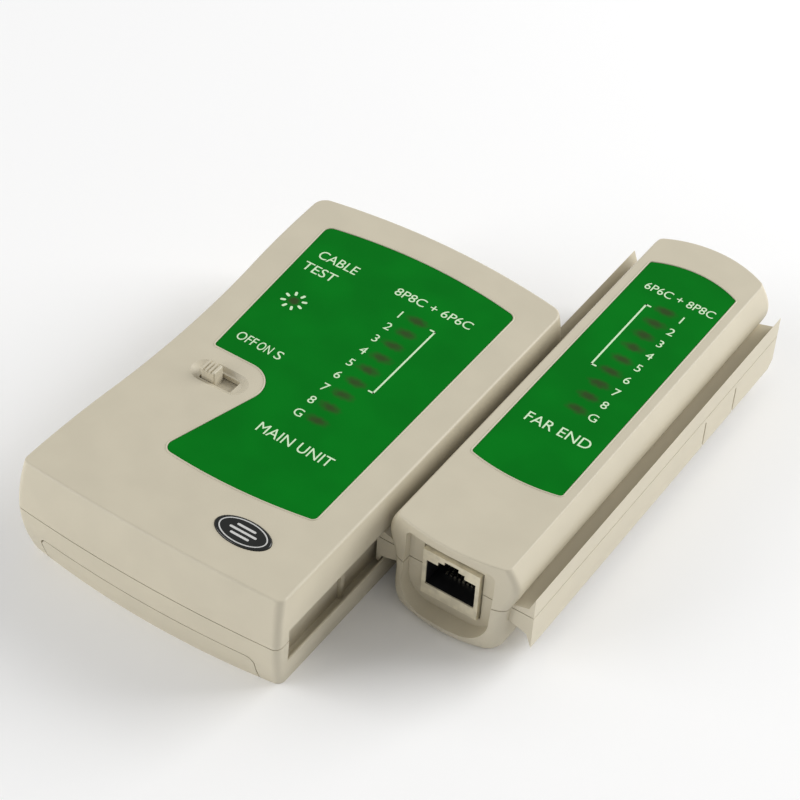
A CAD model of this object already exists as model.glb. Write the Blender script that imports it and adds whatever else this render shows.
"""Looks of a two-unit network cable tester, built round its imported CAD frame."""
import logging
import math
from dataclasses import dataclass, field
from enum import Enum

import bmesh
import bpy
from mathutils import Matrix, Vector


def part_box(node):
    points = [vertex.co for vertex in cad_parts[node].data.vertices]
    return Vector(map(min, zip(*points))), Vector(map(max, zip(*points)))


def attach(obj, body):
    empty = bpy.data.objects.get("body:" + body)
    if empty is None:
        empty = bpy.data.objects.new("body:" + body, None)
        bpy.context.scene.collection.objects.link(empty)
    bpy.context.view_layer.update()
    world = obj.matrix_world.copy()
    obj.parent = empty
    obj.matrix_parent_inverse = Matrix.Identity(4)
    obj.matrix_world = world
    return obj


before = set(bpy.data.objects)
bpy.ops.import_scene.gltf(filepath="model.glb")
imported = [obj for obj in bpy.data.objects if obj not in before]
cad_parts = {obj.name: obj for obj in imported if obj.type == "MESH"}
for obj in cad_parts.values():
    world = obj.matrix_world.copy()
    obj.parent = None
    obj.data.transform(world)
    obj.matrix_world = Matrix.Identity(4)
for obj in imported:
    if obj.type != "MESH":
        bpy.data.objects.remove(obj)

log = logging.getLogger("cable_tester")

MM = 0.001
# Metres: points this near are one point, and heights this near are level.
MERGE_GAP = 1e-7
LEVEL_GAP = 1e-6
# Edges in half a turn at a bar's end, and round a bead.
BAR_END_STEPS = 6
BEAD_SIDES = 10
# Keeps a sharp corner of a widened outline from shooting out.
LEAST_MITRE = 0.5
Colour = tuple[float, float, float]
Place = tuple[float, float, float]
Point = tuple[float, float]


class Body(Enum):
    """Rigid bodies of the frame that the added pieces ride on."""

    MAIN = "main_unit"
    REMOTE = "remote_unit"


# ------------------------------------------------------------------ shader expressions
class Term:
    """A number that varies over a surface, as a socket with arithmetic."""

    def __init__(self, tree: "Tree", socket: bpy.types.NodeSocket) -> None:
        """Wrap one output socket.

        Args:
            tree: The node tree that the socket belongs to.
            socket: The output socket.
        """
        self.tree = tree
        self.socket = socket

    def _apply(self, operation: str, *others: "Term | float") -> "Term":
        """Add one Math node.

        Args:
            operation: The Math node's operation.
            others: Its further operands, after this term.

        Returns:
            The node's result.
        """
        return self.tree.maths(operation, self, *others)

    def __add__(self, other: "Term | float") -> "Term":
        """Sum."""
        return self._apply("ADD", other)

    __radd__ = __add__

    def __sub__(self, other: "Term | float") -> "Term":
        """Difference."""
        return self._apply("SUBTRACT", other)

    def __rsub__(self, other: float) -> "Term":
        """Difference from a plain number."""
        return self.tree.maths("SUBTRACT", other, self)

    def __mul__(self, other: "Term | float") -> "Term":
        """Product."""
        return self._apply("MULTIPLY", other)

    __rmul__ = __mul__

    def __truediv__(self, other: "Term | float") -> "Term":
        """Quotient."""
        return self._apply("DIVIDE", other)

    def __pow__(self, power: float) -> "Term":
        """Power."""
        return self._apply("POWER", power)

    def __abs__(self) -> "Term":
        """Absolute value."""
        return self._apply("ABSOLUTE")

    def __gt__(self, other: "Term | float") -> "Term":
        """1 where this term is the greater, otherwise 0."""
        return self._apply("GREATER_THAN", other)

    def nearest(self) -> "Term":
        """The nearest whole number."""
        return self._apply("ROUND")

    def sine(self) -> "Term":
        """Sine of the term, in radians."""
        return self._apply("SINE")

    def between(self, low: float, high: float) -> "Term":
        """The term held between two limits."""
        return self._apply("MAXIMUM", low)._apply("MINIMUM", high)

    def fade(self, start: float, end: float) -> "Term":
        """Smooth change from 0 at start to 1 at end.

        Args:
            start: Where the result is 0.
            end: Where the result is 1. It may be the lower one.

        Returns:
            A value from 0 to 1.
        """
        share = ((self - start) / (end - start)).between(0.0, 1.0)
        return share * share * (3.0 - 2.0 * share)


Value = Term | float | int | tuple | bpy.types.NodeSocket


class Tree:
    """A material's node tree, with short ways to add what a finish needs."""

    MIX_SHARE, MIX_FIRST, MIX_SECOND, MIX_COLOUR = 0, 6, 7, 2

    def __init__(self, name: str) -> None:
        """Make an empty material with a Principled shader.

        Args:
            name: The material's name.
        """
        self.material = bpy.data.materials.new(name)
        self.material.use_nodes = True
        self.nodes = self.material.node_tree.nodes
        self.links = self.material.node_tree.links
        self.shader = self.nodes["Principled BSDF"]
        self._place: bpy.types.Node | None = None

    def node(self, kind: str, settings: dict[str, object] | None = None,
             **values: Value) -> bpy.types.Node:
        """Add a node, set it up, then feed its sockets.

        Args:
            kind: The node's type.
            settings: Its own settings, set before anything is linked.
            values: Socket names, with _ for a space, and what feeds them.

        Returns:
            The node.
        """
        made = self.nodes.new(kind)
        for key, setting in (settings or {}).items():
            setattr(made, key, setting)
        for key, value in values.items():
            self.feed(made.inputs[key.replace("_", " ")], value)
        return made

    def feed(self, socket: bpy.types.NodeSocket, value: Value) -> None:
        """Link or set one socket."""
        if isinstance(value, Term):
            value = value.socket
        if isinstance(value, bpy.types.NodeSocket):
            self.links.new(value, socket)
        else:
            socket.default_value = value

    def maths(self, operation: str, *operands: Term | float) -> Term:
        """Add a Math node.

        Args:
            operation: Its operation.
            operands: What feeds its sockets, in order.

        Returns:
            Its result.
        """
        made = self.node("ShaderNodeMath", {"operation": operation})
        for socket, operand in zip(made.inputs, operands):
            self.feed(socket, operand)
        return Term(self, made.outputs[0])

    def place(self) -> bpy.types.NodeSocket:
        """The surface point in the object's own coordinates, in metres."""
        if self._place is None:
            self._place = self.node("ShaderNodeTexCoord")
        return self._place.outputs["Object"]

    def axes(self) -> tuple[Term, Term, Term]:
        """The surface point's X, Y and Z."""
        split = self.node("ShaderNodeSeparateXYZ", Vector=self.place())
        return tuple(Term(self, split.outputs[i]) for i in range(3))

    def noise(self, size: float, detail: float = 2.0, stretch: Place = (1, 1, 1)) -> Term:
        """Soft noise.

        Args:
            size: Size of one blotch, in metres.
            detail: Levels of finer noise on top.
            stretch: How much denser it is along X, Y and Z.

        Returns:
            A value that stays near 0.5.
        """
        spot = self.node("ShaderNodeMapping", Vector=self.place(), Scale=stretch)
        made = self.node("ShaderNodeTexNoise", Vector=spot.outputs[0], Scale=1.0 / size,
                         Detail=detail)
        return Term(self, made.outputs[0])

    def mix(self, share: Term | float, first: Value, second: Value) -> bpy.types.NodeSocket:
        """Blend two colours.

        Args:
            share: How much of the second, from 0 to 1.
            first: A colour or a colour socket.
            second: A colour or a colour socket.

        Returns:
            The blended colour.
        """
        made = self.node("ShaderNodeMix", {"data_type": "RGBA"})
        for index, value in ((self.MIX_SHARE, share), (self.MIX_FIRST, first),
                             (self.MIX_SECOND, second)):
            if isinstance(value, tuple):
                value = (*value, 1.0)
            self.feed(made.inputs[index], value)
        return made.outputs[self.MIX_COLOUR]

    def bump(self, height: Term, depth: float) -> None:
        """Feed the shader's normal from a height.

        Args:
            height: The height, from 0 to 1.
            depth: The height's real size, in metres.
        """
        made = self.node("ShaderNodeBump", Height=height, Distance=depth, Strength=1.0)
        self.links.new(made.outputs[0], self.shader.inputs["Normal"])

    def set(self, **values: Value) -> None:
        """Feed the shader's own sockets, named with _ for a space."""
        for key, value in values.items():
            if isinstance(value, tuple) and len(value) == 3:
                value = (*value, 1.0)
            self.feed(self.shader.inputs[key.replace("_", " ")], value)


def shade(colour: Colour, factor: float) -> Colour:
    """A lighter or darker copy of a colour."""
    return tuple(min(channel * factor, 1.0) for channel in colour)


# ------------------------------------------------------------------ finishes
@dataclass(frozen=True)
class Finish:
    """A surface finish. Each kind builds its own material."""

    name: str

    def build(self, tree: Tree) -> None:
        """Add the finish's nodes to a tree."""
        raise NotImplementedError

    def material(self) -> bpy.types.Material:
        """The finish's material, made once."""
        found = bpy.data.materials.get(self.name)
        if found:
            return found
        tree = Tree(self.name)
        self.build(tree)
        return tree.material


@dataclass(frozen=True)
class MouldedPlastic(Finish):
    """Injection-moulded plastic with a spark-eroded grain."""

    colour: Colour
    roughness: float
    mottle: float
    grain: float = 0.22 * MM
    depth: float = 0.006 * MM
    cloud: float = 9 * MM
    specular: float = 0.4

    def build(self, tree: Tree) -> None:
        """Slow mottling, fine grain, and a roughness that follows both."""
        cloud = tree.noise(self.cloud)
        grain = tree.noise(self.grain, 3.0)
        tint = (cloud * 0.7 + grain * 0.3).fade(0.3, 0.7)
        tree.set(
            Base_Color=tree.mix(tint, shade(self.colour, 1 - self.mottle),
                                shade(self.colour, 1 + self.mottle)),
            Roughness=(cloud - 0.5) * 0.12 + (grain - 0.5) * 0.2 + self.roughness)
        tree.shader.inputs["Specular IOR Level"].default_value = self.specular
        tree.bump(grain, self.depth)


@dataclass(frozen=True)
class GlossPlastic(Finish):
    """Smooth plastic under a clear gloss, with a faint ripple."""

    colour: Colour
    roughness: float = 0.22
    coat: float = 0.12
    ripple: float = 2.4 * MM
    ripple_depth: float = 0.01 * MM
    dust: float = 0.3 * MM

    def build(self, tree: Tree) -> None:
        """A ripple in the gloss, a slight change of tone and fine dust."""
        ripple = tree.noise(self.ripple)
        dust = tree.noise(self.dust, 3.0)
        tree.set(Base_Color=tree.mix(ripple.fade(0.3, 0.7), shade(self.colour, 0.85),
                                     shade(self.colour, 1.15)),
                 Roughness=(dust - 0.5) * 0.16 + self.roughness, Coat_Weight=self.coat)
        tree.bump(ripple, self.ripple_depth)


@dataclass(frozen=True)
class OverlayFilm(Finish):
    """Printed label film. Its lamps show through it as soft dark spots."""

    colour: Colour
    glimmer: Colour
    lamp_x: float
    first_lamp: float
    last_lamp: float
    count: int
    half_length: float
    half_width: float
    spot: Point | None = None
    spot_radius: float = 1.3 * MM
    lamp_share: float = 0.72
    ragged: float = 1.1 * MM
    haze: float = 14 * MM
    speck: float = 0.18 * MM
    speck_depth: float = 0.003 * MM
    roughness: float = 0.36
    specular: float = 0.04

    def build(self, tree: Tree) -> None:
        """Green ink over a satin film, and soft dark ovals over the lamps."""
        x, y, _ = tree.axes()
        pitch = (self.first_lamp - self.last_lamp) / (self.count - 1)
        row = ((self.first_lamp - y) / pitch).nearest().between(0, self.count - 1)
        along = (x - self.lamp_x) / self.half_length
        across = (self.first_lamp - row * pitch - y) / self.half_width
        ragged = (tree.noise(self.ragged) - 0.5) * 0.8
        lamps = ((along ** 2 + across ** 2) ** 0.5 + ragged).fade(1.45, 0.2)
        if self.spot:
            away = ((x - self.spot[0]) ** 2 + (y - self.spot[1]) ** 2) ** 0.5
            lamps = lamps + (away / self.spot_radius + ragged).fade(1.3, 0.5)
        haze = tree.noise(self.haze).fade(0.3, 0.7)
        speck = tree.noise(self.speck, 3.0)
        ink = tree.mix(haze, shade(self.colour, 0.93), shade(self.colour, 1.08))
        tree.set(Base_Color=tree.mix(lamps * self.lamp_share, ink, self.glimmer),
                 Roughness=(speck - 0.5) * 0.14 + self.roughness)
        tree.shader.inputs["Specular IOR Level"].default_value = self.specular
        tree.bump(speck, self.speck_depth)


@dataclass(frozen=True)
class PrintInk(Finish):
    """Opaque screen-print ink."""

    colour: Colour
    roughness: float = 0.5
    grain: float = 0.35 * MM
    depth: float = 0.004 * MM

    def build(self, tree: Tree) -> None:
        """Slightly uneven coverage."""
        cover = tree.noise(self.grain, 3.0)
        tree.set(Base_Color=tree.mix(cover.fade(0.25, 0.6), shade(self.colour, 0.86),
                                     self.colour),
                 Roughness=(cover - 0.5) * 0.2 + self.roughness)
        tree.bump(cover, self.depth)


@dataclass(frozen=True)
class PlatedSheet(Finish):
    """Formed and plated sheet metal, with fine rolling lines."""

    colour: Colour
    roughness: float
    metallic: float = 1.0
    line_width: float = 0.12 * MM
    line_stretch: Place = (0.06, 1.0, 1.0)
    line_depth: float = 0.004 * MM
    patch: float = 2.2 * MM

    def build(self, tree: Tree) -> None:
        """Rolling lines along X and a few duller patches."""
        lines = tree.noise(self.line_width, 2.0, self.line_stretch)
        patch = tree.noise(self.patch).fade(0.35, 0.65)
        tree.set(Base_Color=tree.mix(patch, shade(self.colour, 0.9), shade(self.colour, 1.06)),
                 Roughness=patch * 0.1 + (lines - 0.5) * 0.25 + self.roughness)
        tree.shader.inputs["Metallic"].default_value = self.metallic
        tree.bump(lines, self.line_depth)


@dataclass(frozen=True)
class BoardLaminate(Finish):
    """Circuit board under solder mask, with copper tracks below it."""

    colour: Colour
    track: Colour
    pitch: float = 2.54 * MM
    bend: float = 11 * MM
    track_depth: float = 0.03 * MM
    weave: float = 0.5 * MM
    roughness: float = 0.34
    coat: float = 0.3

    def build(self, tree: Tree) -> None:
        """Tracks as raised bands that wander along the board."""
        x, _, _ = tree.axes()
        wander = (tree.noise(self.bend, 0.0) - 0.5) * 4.0
        wave = ((x / self.pitch + wander) * (2 * math.pi)).sine()
        copper = wave.fade(0.1, 0.35)
        weave = tree.noise(self.weave)
        tree.set(Base_Color=tree.mix(copper, shade(self.colour, 0.9), self.track),
                 Roughness=(weave - 0.5) * 0.15 + self.roughness, Coat_Weight=self.coat)
        tree.bump(copper, self.track_depth)


@dataclass(frozen=True)
class BandedBody(Finish):
    """Small component with painted bands along X."""

    base: Colour
    bands: Colour
    start: float
    pitch: float
    width: float
    dimple: float = 0.4 * MM
    dimple_depth: float = 0.01 * MM
    roughness: float = 0.35

    def build(self, tree: Tree) -> None:
        """Bands repeat from start, over a lacquer with slight dimples."""
        x, _, _ = tree.axes()
        along = x - self.start
        away = abs(along / self.pitch - (along / self.pitch).nearest()) * self.pitch
        paint = away.fade(self.width * 0.6, self.width * 0.4)
        dimple = tree.noise(self.dimple)
        tree.set(Base_Color=tree.mix(paint, self.base, self.bands),
                 Roughness=(dimple - 0.5) * 0.2 + self.roughness)
        tree.bump(dimple, self.dimple_depth)


@dataclass(frozen=True)
class TwoTone(Finish):
    """Two colours that meet at one place along an axis."""

    near: Colour
    far: Colour
    meet: float
    axis: int = 0
    roughness: float = 0.35
    near_metal: float = 0.0
    far_metal: float = 0.0
    wear: float = 0.7 * MM
    wear_depth: float = 0.006 * MM

    def build(self, tree: Tree) -> None:
        """A sharp meeting line, with the same light wear on both sides."""
        side = tree.axes()[self.axis] > self.meet
        wear = tree.noise(self.wear, 3.0)
        tree.set(Base_Color=tree.mix(side, self.near, self.far),
                 Metallic=side * (self.far_metal - self.near_metal) + self.near_metal,
                 Roughness=(wear - 0.5) * 0.2 + self.roughness)
        tree.bump(wear, self.wear_depth)


CASE = MouldedPlastic("case_plastic_grained", (0.60, 0.548, 0.425), roughness=0.42,
                      mottle=0.025)
JACK_BLACK = MouldedPlastic("jack_plastic_black", (0.012, 0.012, 0.013), roughness=0.38,
                            mottle=0.2)
SNAP_BLACK = MouldedPlastic("snap_plastic_black", (0.02, 0.02, 0.022), roughness=0.55,
                            mottle=0.15)
SHIELD = PlatedSheet("shield_plating", (0.74, 0.68, 0.52), roughness=0.45, metallic=0.3)
SPRING = PlatedSheet("contact_gold", (0.86, 0.80, 0.62), roughness=0.22)
STEEL = PlatedSheet("screw_zinc", (0.56, 0.56, 0.54), roughness=0.34)
TIN = PlatedSheet("switch_tin", (0.62, 0.61, 0.58), roughness=0.3)
BADGE_BLACK = GlossPlastic("badge_black", (0.006, 0.007, 0.006))
BADGE_INK = PrintInk("badge_silver_ink", (0.62, 0.62, 0.60))
LABEL_INK = PrintInk("label_pale_ink", (0.66, 0.86, 0.58))
LAMP_RED = GlossPlastic("lamp_red", (0.20, 0.018, 0.012), roughness=0.3)
SLEEVE_BLUE = GlossPlastic("capacitor_sleeve", (0.02, 0.035, 0.12))
BOARD = BoardLaminate("board_laminate", (0.012, 0.09, 0.03), (0.03, 0.16, 0.06))
FILM_GREEN = (0.0015, 0.168, 0.010)
LAMP_SHADOW = (0.045, 0.036, 0.022)


# ------------------------------------------------------------------ mesh helpers
def dress(finish: Finish, *nodes: str) -> None:
    """Give CAD nodes a finish.

    Args:
        finish: The finish.
        nodes: Names of the nodes.
    """
    for name in nodes:
        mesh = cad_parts[name].data
        mesh.materials.clear()
        mesh.materials.append(finish.material())
        log.info("dressed %s in %s", name, finish.name)


def middle(node: str) -> Vector:
    """The middle of a node's box."""
    low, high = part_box(node)
    return (low + high) / 2


def placed(name: str, data: bpy.types.ID) -> bpy.types.Object:
    """A new object in the scene.

    Args:
        name: Its name.
        data: Its mesh, curve, light or camera.

    Returns:
        The object.
    """
    made = bpy.data.objects.new(name, data)
    bpy.context.scene.collection.objects.link(made)
    return made


def piece(name: str, mesh: bpy.types.Mesh, finish: Finish, body: Body) -> bpy.types.Object:
    """Turn a mesh into a finished piece that rides on a body.

    Args:
        name: The piece's name.
        mesh: Its mesh, in the frame's coordinates.
        finish: Its finish.
        body: The body that it rides on.

    Returns:
        The piece.
    """
    mesh.name = name
    mesh.materials.clear()
    mesh.materials.append(finish.material())
    made = placed(name, mesh)
    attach(made, body.value)
    log.info("piece %s: %d faces on %s", name, len(mesh.polygons), body.value)
    return made


def joined(meshes: list[bpy.types.Mesh]) -> bpy.types.Mesh:
    """Join meshes into one, and drop the originals.

    Args:
        meshes: The meshes.

    Returns:
        The joined mesh.
    """
    whole = bmesh.new()
    for mesh in meshes:
        whole.from_mesh(mesh)
        bpy.data.meshes.remove(mesh)
    made = bpy.data.meshes.new("joined")
    whole.to_mesh(made)
    whole.free()
    return made


def evaluated_mesh(source: bpy.types.Object) -> bpy.types.Mesh:
    """The plain mesh of an object with its modifiers, which is then removed.

    Args:
        source: The object.

    Returns:
        The mesh.
    """
    bpy.context.view_layer.update()
    graph = bpy.context.evaluated_depsgraph_get()
    mesh = bpy.data.meshes.new_from_object(source.evaluated_get(graph), depsgraph=graph)
    bpy.data.objects.remove(source)
    return mesh


def bar(centre: Vector, length: float, width: float, height: float,
        angle: float = 0.0) -> bpy.types.Mesh:
    """A flat bar with rounded ends, lying in XY.

    Args:
        centre: Middle of its underside.
        length: Length along its own axis.
        width: Width.
        height: Thickness along Z.
        angle: Turn about Z, in radians.

    Returns:
        Its mesh.
    """
    form = bmesh.new()
    rim, radius = [], width / 2
    for side in (1, -1):
        for i in range(BAR_END_STEPS + 1):
            turn = math.pi / 2 * (2 * i / BAR_END_STEPS - 1)
            x = side * (length / 2 - radius + radius * math.cos(turn))
            rim.append(form.verts.new((x, side * radius * math.sin(turn), 0.0)))
    face = form.faces.new(rim)
    raised = bmesh.ops.extrude_face_region(form, geom=[face])["geom"]
    bmesh.ops.translate(form, vec=(0, 0, height),
                        verts=[v for v in raised if isinstance(v, bmesh.types.BMVert)])
    bmesh.ops.recalc_face_normals(form, faces=form.faces)
    mesh = bpy.data.meshes.new("bar")
    form.to_mesh(mesh)
    form.free()
    mesh.transform(Matrix.Translation(centre) @ Matrix.Rotation(angle, 4, "Z"))
    return mesh


# ------------------------------------------------------------------ geometry node builds
class NodeBuild:
    """A geometry node tree with named inputs, one of which is the finish."""

    def __init__(self, name: str, **inputs: str) -> None:
        """Make the tree's ends.

        Args:
            name: The tree's name.
            inputs: The kinds of its inputs, by name, in order.
        """
        self.tree = bpy.data.node_groups.new(name, "GeometryNodeTree")
        face = self.tree.interface
        for label, kind in (*inputs.items(), ("Finish", "Material")):
            face.new_socket(label, in_out="INPUT", socket_type="NodeSocket" + kind)
        face.new_socket("Geometry", in_out="OUTPUT", socket_type="NodeSocketGeometry")
        self.given = self.tree.nodes.new("NodeGroupInput")

    def close(self, shape: bpy.types.NodeSocket) -> None:
        """End the tree: real geometry, then its finish."""
        add, link = self.tree.nodes.new, self.tree.links.new
        real, paint = add("GeometryNodeRealizeInstances"), add("GeometryNodeSetMaterial")
        link(shape, real.inputs[0])
        link(real.outputs[0], paint.inputs["Geometry"])
        link(self.given.outputs["Finish"], paint.inputs["Material"])
        link(paint.outputs[0], add("NodeGroupOutput").inputs[0])

    def run(self, base: bpy.types.Mesh, finish: Finish,
            **values: bpy.types.Object | float | int) -> bpy.types.Mesh:
        """Run the tree.

        Args:
            base: The mesh that it starts from.
            finish: The finish of what it makes.
            values: Its other inputs, by name.

        Returns:
            The mesh that it makes.
        """
        holder = placed(self.tree.name, base)
        modifier = holder.modifiers.new(self.tree.name, "NODES")
        modifier.node_group = self.tree
        values["Finish"] = finish.material()
        for item in self.tree.interface.items_tree:
            if item.in_out == "INPUT" and item.name in values:
                modifier[item.identifier] = values[item.name]
        return evaluated_mesh(holder)


class RayRing(NodeBuild):
    """Short bars set round a circle."""

    def __init__(self) -> None:
        """Build the tree once."""
        super().__init__("ray_ring", Bar="Object", Count="Int", Radius="Float")
        given = self.given
        add, link = self.tree.nodes.new, self.tree.links.new
        source = add("GeometryNodeObjectInfo")
        circle = add("GeometryNodeMeshCircle")
        place = add("GeometryNodeInputPosition")
        split = add("ShaderNodeSeparateXYZ")
        angle = add("ShaderNodeMath")
        angle.operation = "ARCTAN2"
        turn = add("ShaderNodeCombineXYZ")
        copies = add("GeometryNodeInstanceOnPoints")
        link(given.outputs["Bar"], source.inputs["Object"])
        link(given.outputs["Count"], circle.inputs["Vertices"])
        link(given.outputs["Radius"], circle.inputs["Radius"])
        link(place.outputs[0], split.inputs[0])
        link(split.outputs["Y"], angle.inputs[0])
        link(split.outputs["X"], angle.inputs[1])
        link(angle.outputs[0], turn.inputs["Z"])
        link(circle.outputs["Mesh"], copies.inputs["Points"])
        link(source.outputs["Geometry"], copies.inputs["Instance"])
        link(turn.outputs[0], copies.inputs["Rotation"])
        self.close(copies.outputs["Instances"])

    def mesh(self, ray: bpy.types.Mesh, count: int, radius: float, turn: float,
             centre: Vector, finish: Finish) -> bpy.types.Mesh:
        """Make a ring.

        Args:
            ray: One bar, lying along X at the origin.
            count: How many.
            radius: From the ring's centre to the bars' middles.
            turn: Turn of the whole ring, in radians.
            centre: Where the ring goes.
            finish: The bars' finish.

        Returns:
            The ring's mesh.
        """
        part = placed("ray", ray)
        mesh = self.run(bpy.data.meshes.new("ring"), finish, Bar=part, Count=count,
                        Radius=radius)
        bpy.data.objects.remove(part)
        mesh.transform(Matrix.Translation(centre) @ Matrix.Rotation(turn, 4, "Z"))
        return mesh


class RoundBead(NodeBuild):
    """A round bead that follows a closed path."""

    def __init__(self) -> None:
        """Build the tree once."""
        super().__init__("round_bead", Path="Geometry", Radius="Float")
        add, link = self.tree.nodes.new, self.tree.links.new
        path, ring = add("GeometryNodeMeshToCurve"), add("GeometryNodeCurvePrimitiveCircle")
        ring.inputs["Resolution"].default_value = BEAD_SIDES
        sweep = add("GeometryNodeCurveToMesh")
        link(self.given.outputs["Path"], path.inputs["Mesh"])
        link(self.given.outputs["Radius"], ring.inputs["Radius"])
        link(path.outputs[0], sweep.inputs["Curve"])
        link(ring.outputs["Curve"], sweep.inputs["Profile Curve"])
        self.close(sweep.outputs[0])

    def mesh(self, path: list[Vector], radius: float, finish: Finish) -> bpy.types.Mesh:
        """Make a bead.

        Args:
            path: Points of the closed path, in order.
            radius: The bead's radius.
            finish: The bead's finish.

        Returns:
            The bead's mesh.
        """
        loop = bpy.data.meshes.new("path")
        loop.from_pydata([tuple(p) for p in path],
                         [(i, (i + 1) % len(path)) for i in range(len(path))], [])
        mesh = self.run(loop, finish, Radius=radius)
        form = bmesh.new()
        form.from_mesh(mesh)
        bmesh.ops.remove_doubles(form, verts=form.verts, dist=MERGE_GAP)
        bmesh.ops.recalc_face_normals(form, faces=form.faces)
        form.to_mesh(mesh)
        form.free()
        mesh.shade_smooth()
        return mesh


RAYS = RayRing()
BEAD = RoundBead()


def outline(node: str) -> list[Vector]:
    """The upper outline of a flat plate among the CAD nodes.

    Args:
        node: The plate's name.

    Returns:
        Its points in order, anticlockwise from above.
    """
    form = bmesh.new()
    form.from_mesh(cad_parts[node].data)
    bmesh.ops.remove_doubles(form, verts=form.verts, dist=MERGE_GAP)
    top = max(v.co.z for v in form.verts)
    flat = {f for f in form.faces if all(abs(v.co.z - top) < LEVEL_GAP for v in f.verts)}
    rim = [e for e in form.edges if sum(f in flat for f in e.link_faces) == 1]
    after: dict[bmesh.types.BMVert, list[bmesh.types.BMVert]] = {}
    for edge in rim:
        for one, other in (edge.verts, reversed(edge.verts)):
            after.setdefault(one, []).append(other)
    start = rim[0].verts[0]
    order, last, here = [start.co.copy()], None, start
    while True:
        step = next(v for v in after[here] if v is not last)
        if step is start:
            break
        order.append(step.co.copy())
        last, here = here, step
    form.free()
    area = sum(a.x * b.y - b.x * a.y for a, b in zip(order, order[1:] + order[:1]))
    return order if area > 0 else order[::-1]


def spread(path: list[Vector], distance: float, height: float) -> list[Vector]:
    """A closed path moved outwards, at one height.

    Args:
        path: Points, anticlockwise from above.
        distance: How far outwards.
        height: The new path's height.

    Returns:
        The new points.
    """
    moved = []
    for before, here, after in zip(path[-1:] + path[:-1], path, path[1:] + path[:1]):
        one, two = (here - before).normalized(), (after - here).normalized()
        normal = Vector((one.y + two.y, -one.x - two.x, 0.0)).normalized()
        stretch = max(normal.x * one.y - normal.y * one.x, LEAST_MITRE)
        moved.append(Vector((here.x, here.y, height)) + normal * (distance / stretch))
    return moved


# ------------------------------------------------------------------ printing
@dataclass(frozen=True)
class Words:
    """One printed line, in millimetres from the first lamp's middle.

    A width of 0 keeps the letters' own proportions.
    """

    text: str
    x: float
    y: float
    width: float
    height: float


@dataclass
class LabelPrint:
    """What is printed on one label, in millimetres from its first lamp's middle."""

    unit: str
    body: Body
    lamps: str
    digits_x: float
    bracket_x: float
    hook: float
    words: tuple[Words, ...]
    digit_height: float = 2.35
    digit_drop: float = 0.3
    bracket_top: float = -0.5
    bracket_end: float = -24.1
    line: float = 0.42
    thickness: float = 0.035
    lamp_width: float = 2.6
    curve_steps: int = 4
    marks: str = "12345678G"

    def first(self) -> Vector:
        """Middle of lamp 1, at the label's surface."""
        low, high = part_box(self.lamps)
        half = (high.y - low.y - (len(self.marks) - 1) * self.pitch()) / 2
        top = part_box(self.unit + "_label")[1].z
        return Vector(((low.x + high.x) / 2, high.y - half, top))

    def pitch(self) -> float:
        """Distance between two lamps, from the row's length and one lamp's width."""
        low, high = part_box(self.lamps)
        return (high.y - low.y - self.lamp_width * MM) / (len(self.marks) - 1)

    def text(self, line: Words) -> bpy.types.Mesh:
        """Print one line.

        Args:
            line: What to print and where.

        Returns:
            Its mesh.
        """
        curve = bpy.data.curves.new("text", "FONT")
        curve.body = line.text
        curve.align_x, curve.align_y = "CENTER", "CENTER"
        # Any depth will do here: the letters are scaled to the ink's thickness below.
        curve.extrude = 0.5
        curve.resolution_u = self.curve_steps
        mesh = evaluated_mesh(placed("text", curve))
        bpy.data.curves.remove(curve)
        low = Vector([min(v.co[i] for v in mesh.vertices) for i in range(3)])
        high = Vector([max(v.co[i] for v in mesh.vertices) for i in range(3)])
        size, centre = high - low, (high + low) / 2
        tall = line.height * MM / size.y
        scale = (line.width * MM / size.x if line.width else tall, tall,
                 self.thickness * MM / size.z)
        place = self.first() + Vector((line.x * MM, line.y * MM, self.thickness * MM / 2))
        mesh.transform(Matrix.Translation(place) @ Matrix.Diagonal((*scale, 1.0))
                       @ Matrix.Translation(-centre))
        return mesh

    def digits(self) -> bpy.types.Mesh:
        """Print the lamps' numbers."""
        drawn = []
        for i, mark in enumerate(self.marks):
            y = -i * self.pitch() / MM - self.digit_drop
            drawn.append(self.text(Words(mark, self.digits_x, y, 0.0, self.digit_height)))
        return joined(drawn)

    def bracket(self) -> bpy.types.Mesh:
        """Print the bracket beside the first lamps."""
        top, end = self.bracket_top, self.bracket_end
        height = self.thickness * MM
        start = self.first()
        run = bar(start + Vector((self.bracket_x, (top + end) / 2, 0)) * MM,
                  (top - end + self.line) * MM, self.line * MM, height, math.pi / 2)
        hooks = [bar(start + Vector((self.bracket_x + self.hook / 2, y, 0)) * MM,
                     (abs(self.hook) + self.line) * MM, self.line * MM, height)
                 for y in (top, end)]
        return joined([run, *hooks])

    def build(self) -> None:
        """Make the printed pieces of this label."""
        piece(self.unit + "_numbers", self.digits(), LABEL_INK, self.body)
        piece(self.unit + "_bracket", self.bracket(), LABEL_INK, self.body)
        lines = joined([self.text(line) for line in self.words])
        piece(self.unit + "_words", lines, LABEL_INK, self.body)


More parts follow.
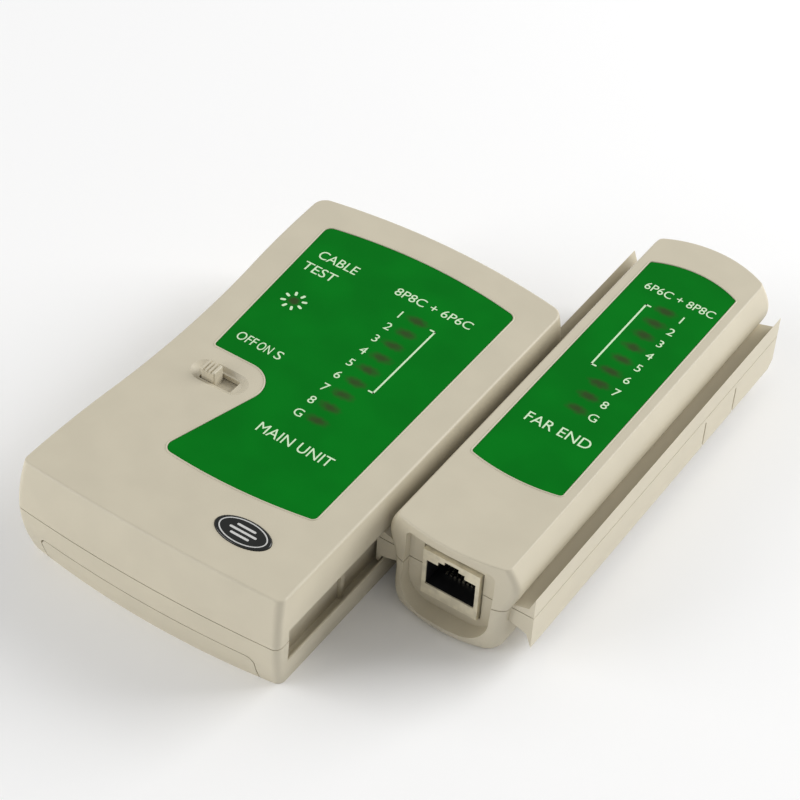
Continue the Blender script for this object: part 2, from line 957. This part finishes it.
@dataclass
class Label:
    """One label's film, and the soft lip of the case round it."""

    unit: str
    body: Body
    printing: LabelPrint
    lamp_half_length: float = 2.5
    lamp_half_width: float = 1.25
    lip_radius: float = 0.2
    lip_gap: float = 0.26
    lip_sink: float = 0.05

    def film(self) -> OverlayFilm:
        """The film's finish, with its lamps in place."""
        first = self.printing.first()
        count = len(self.printing.marks)
        spot = middle("power_lamp") if self.body is Body.MAIN else None
        return OverlayFilm(
            self.unit + "_film", FILM_GREEN, LAMP_SHADOW, lamp_x=first.x,
            first_lamp=first.y, last_lamp=first.y - self.printing.pitch() * (count - 1),
            count=count, half_length=self.lamp_half_length * MM,
            half_width=self.lamp_half_width * MM, spot=(spot.x, spot.y) if spot else None)

    def build(self) -> None:
        """Dress the film, print on it and add the lip."""
        dress(self.film(), self.unit + "_label")
        self.printing.build()
        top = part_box(self.unit + "_top_shell")[1].z
        path = spread(outline(self.unit + "_label"), self.lip_gap * MM,
                      top - self.lip_sink * MM)
        lip = BEAD.mesh(path, self.lip_radius * MM, CASE)
        piece(self.unit + "_label_lip", lip, CASE, self.body)


# ------------------------------------------------------------------ units
@dataclass
class Badge:
    """Oval badge with a plain mark: a thin ring and three bars."""

    ring_share: float = 0.84
    ring_width: float = 0.28
    bar_lengths: tuple[float, ...] = (4.6, 6.6, 4.6)
    bar_gap: float = 1.25
    bar_width: float = 0.55
    height: float = 0.03
    ring_steps: int = 64

    def build(self) -> None:
        """Dress the badge and print its mark."""
        dress(BADGE_BLACK, "main_badge")
        low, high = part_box("main_badge")
        centre = Vector(((low.x + high.x) / 2, (low.y + high.y) / 2, high.z))
        half_x, half_y = (high.x - low.x) / 2, (high.y - low.y) / 2
        share, steps = self.ring_share, self.ring_steps
        path = [centre + Vector((half_x * share * math.cos(2 * math.pi * i / steps),
                                 half_y * share * math.sin(2 * math.pi * i / steps), 0))
                for i in range(steps)]
        ring = BEAD.mesh(path, self.ring_width / 2 * MM, BADGE_INK)
        ring.transform(Matrix.Translation(centre)
                       @ Matrix.Diagonal((1, 1, self.height / self.ring_width * 2, 1))
                       @ Matrix.Translation(-centre))
        bars = [bar(centre + Vector((0, (i - 1) * self.bar_gap, 0)) * MM, length * MM,
                    self.bar_width * MM, self.height * MM)
                for i, length in enumerate(self.bar_lengths)]
        piece("badge_mark", joined([ring, *bars]), BADGE_INK, Body.MAIN)


@dataclass
class PowerMark:
    """Ring of short rays round the power lamp."""

    count: int = 8
    inner: float = 1.75
    outer: float = 3.05
    width: float = 0.62
    turn: float = 22.5
    height: float = 0.035

    def build(self) -> None:
        """Print the rays."""
        lamp = middle("power_lamp")
        centre = Vector((lamp.x, lamp.y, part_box("main_label")[1].z))
        ray = bar(Vector(), (self.outer - self.inner) * MM, self.width * MM,
                  self.height * MM)
        mesh = RAYS.mesh(ray, self.count, (self.inner + self.outer) / 2 * MM,
                         math.radians(self.turn), centre, LABEL_INK)
        piece("power_rays", mesh, LABEL_INK, Body.MAIN)


@dataclass
class MainUnit:
    """Main unit: shells, label, badge, switch and jacks."""

    printing: LabelPrint = field(default_factory=lambda: LabelPrint(
        "main", Body.MAIN, "main_lamps", digits_x=-4.35, bracket_x=4.85, hook=-1.15,
        words=(Words("8P8C + 6P6C", 0.45, 5.7, 19.8, 2.5),
               Words("CABLE", -24.9, 5.6, 10.2, 2.75),
               Words("TEST", -26.6, 0.6, 8.6, 2.75),
               Words("OFF", -26.4, -26.5, 4.9, 2.6),
               Words("ON", -21.6, -26.6, 3.5, 2.6),
               Words("S", -17.85, -26.7, 1.6, 2.6),
               Words("MAIN UNIT", 0.6, -46.3, 18.6, 2.85))))

    def build(self) -> None:
        """Dress every node of the main unit and add its pieces."""
        dress(CASE, "main_top_shell", "main_bottom_shell", "battery_door", "switch_knob")
        dress(JACK_BLACK, "main_rj45_housing", "main_rj11_housing")
        dress(SHIELD, "main_rj45_shield")
        dress(SPRING, "main_rj45_contacts", "main_rj11_contacts")
        dress(TIN, "switch_can", "switch_terminals")
        dress(STEEL, "main_case_screws", "main_board_screws")
        dress(LAMP_RED, "main_lamps", "power_lamp")
        Label("main", Body.MAIN, self.printing).build()
        Badge().build()
        PowerMark().build()


@dataclass
class RemoteUnit:
    """Remote unit: shells, label and jacks."""

    printing: LabelPrint = field(default_factory=lambda: LabelPrint(
        "remote", Body.REMOTE, "remote_lamps", digits_x=4.3, bracket_x=-4.6, hook=1.1,
        words=(Words("6P6C + 8P8C", 0.7, 5.3, 17.4, 2.4),
               Words("FAR END", 0.35, -45.7, 15.6, 2.85))))

    def build(self) -> None:
        """Dress every node of the remote unit and add its pieces."""
        dress(CASE, "remote_top_shell", "remote_bottom_shell")
        dress(JACK_BLACK, "remote_rj45_housing", "remote_rj11_housing")
        dress(SHIELD, "remote_rj45_shield")
        dress(SPRING, "remote_rj45_contacts", "remote_rj11_contacts")
        dress(STEEL, "remote_case_screws", "remote_board_screws")
        dress(LAMP_RED, "remote_lamps")
        Label("remote", Body.REMOTE, self.printing).build()


@dataclass
class Insides:
    """Boards, small parts, battery and leads inside the cases."""

    chip_black: Colour = (0.012, 0.012, 0.012)
    leg_tin: Colour = (0.6, 0.6, 0.58)
    leg_height: float = 0.9
    resistor_tan: Colour = (0.55, 0.40, 0.22)
    resistor_bands: Colour = (0.02, 0.03, 0.16)
    diode_glass: Colour = (0.42, 0.10, 0.03)
    diode_bands: Colour = (0.7, 0.7, 0.68)
    band_pitch: float = 1.5
    band_width: float = 0.6
    jacket_copper: Colour = (0.42, 0.18, 0.05)
    jacket_black: Colour = (0.015, 0.015, 0.016)
    jacket_share: float = 0.28
    lead_red: Colour = (0.40, 0.012, 0.01)
    lead_black: Colour = (0.01, 0.01, 0.01)

    def banded(self, node: str, base: Colour, bands: Colour) -> None:
        """Dress small parts that have painted bands.

        Args:
            node: The parts' node.
            base: Colour of their bodies.
            bands: Colour of their bands.
        """
        dress(BandedBody(node + "_bands", base, bands, middle(node).x,
                         self.band_pitch * MM, self.band_width * MM), node)

    def build(self) -> None:
        """Dress everything that the cases hold."""
        dress(BOARD, "main_board", "remote_board")
        for chip in ("timer_chip", "counter_chip"):
            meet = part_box(chip)[1].z - self.leg_height * MM
            dress(TwoTone(chip + "_body", self.chip_black, self.leg_tin, meet, axis=2,
                          far_metal=1.0), chip)
        self.banded("resistors", self.resistor_tan, self.resistor_bands)
        self.banded("remote_diodes", self.diode_glass, self.diode_bands)
        dress(SLEEVE_BLUE, "capacitors")
        low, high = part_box("battery")
        meet = low.x + (high.x - low.x) * self.jacket_share
        dress(TwoTone("battery_jacket", self.jacket_copper, self.jacket_black, meet,
                      near_metal=0.8, roughness=0.28), "battery")
        dress(SNAP_BLACK, "battery_snap")
        dress(TwoTone("lead_sleeves", self.lead_red, self.lead_black,
                      middle("battery_leads").x, roughness=0.45), "battery_leads")


# ------------------------------------------------------------------ studio
@dataclass
class Studio:
    """Pale floor, soft lights and the camera.

    The camera's target and distance are in millimetres, its turns in degrees. The floor
    and the lights are in metres and watts.
    """

    target: Place = (-12.73, 13.26, 0.0)
    distance: float = 557.16
    azimuth: float = 31.56
    elevation: float = 44.24
    roll: float = 3.68
    lens: float = 111.2
    sensor: float = 36.0
    sky: float = 0.42
    lamp_side: float = 0.9
    key_place: Place = (0.64, 0.85, 0.58)
    key_power: float = 14.0
    front_place: Place = (-0.82, -0.76, 0.40)
    front_power: float = 8.5
    floor_half: float = 4.0
    floor_tone: Colour = (0.97, 0.97, 0.97)

    def floor(self) -> None:
        """A wide pale floor."""
        mesh = bpy.data.meshes.new("floor")
        half = self.floor_half
        mesh.from_pydata([(-half, -half, 0), (half, -half, 0), (half, half, 0),
                          (-half, half, 0)], [], [(0, 1, 2, 3)])
        tree = Tree("floor_paper")
        tree.set(Base_Color=self.floor_tone, Roughness=0.9)
        mesh.materials.append(tree.material)
        placed("floor", mesh)

    def lamp(self, name: str, place: Place, power: float) -> None:
        """One soft square light that faces the object.

        Args:
            name: Its name.
            place: Where it stands, in metres.
            power: Its power, in watts.
        """
        light = bpy.data.lights.new(name, "AREA")
        light.size, light.energy = self.lamp_side, power
        holder = placed(name, light)
        holder.location = place
        holder.rotation_euler = Vector(place).to_track_quat("Z", "Y").to_euler()

    def lights(self) -> None:
        """Bright surroundings, a key from behind and a fill from the front left."""
        world = bpy.data.worlds.new("surroundings")
        world.use_nodes = True
        sky = world.node_tree.nodes["Background"]
        sky.inputs["Color"].default_value = (1.0, 1.0, 1.0, 1.0)
        sky.inputs["Strength"].default_value = self.sky
        bpy.context.scene.world = world
        self.lamp("key", self.key_place, self.key_power)
        self.lamp("front", self.front_place, self.front_power)

    def camera(self) -> None:
        """The camera, turned a little about its own axis."""
        azimuth, elevation, roll = (math.radians(a) for a in
                                    (self.azimuth, self.elevation, self.roll))
        back = Vector((math.sin(azimuth) * math.cos(elevation),
                       -math.cos(azimuth) * math.cos(elevation), math.sin(elevation)))
        right = Vector((0, 0, 1)).cross(back).normalized()
        up = back.cross(right)
        local_x = right * math.cos(roll) + up * math.sin(roll)
        local_y = up * math.cos(roll) - right * math.sin(roll)
        place = (Vector(self.target) + back * self.distance) * MM
        data = bpy.data.cameras.new("camera")
        data.lens, data.sensor_width = self.lens, self.sensor
        data.clip_start, data.clip_end = 0.01, 50.0
        holder = placed("camera", data)
        turned = Matrix((local_x, local_y, back)).transposed().to_4x4()
        holder.matrix_world = Matrix.Translation(place) @ turned
        bpy.context.scene.camera = holder

    def build(self) -> None:
        """Set up the floor, the lights and the camera."""
        bpy.context.scene.view_settings.view_transform = "Standard"
        self.camera()
        self.floor()
        self.lights()


def main() -> None:
    logging.basicConfig(level=logging.INFO, format="%(name)s: %(message)s")
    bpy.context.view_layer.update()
    Studio().build()
    MainUnit().build()
    RemoteUnit().build()
    Insides().build()


if __name__ == "__main__":
    main()
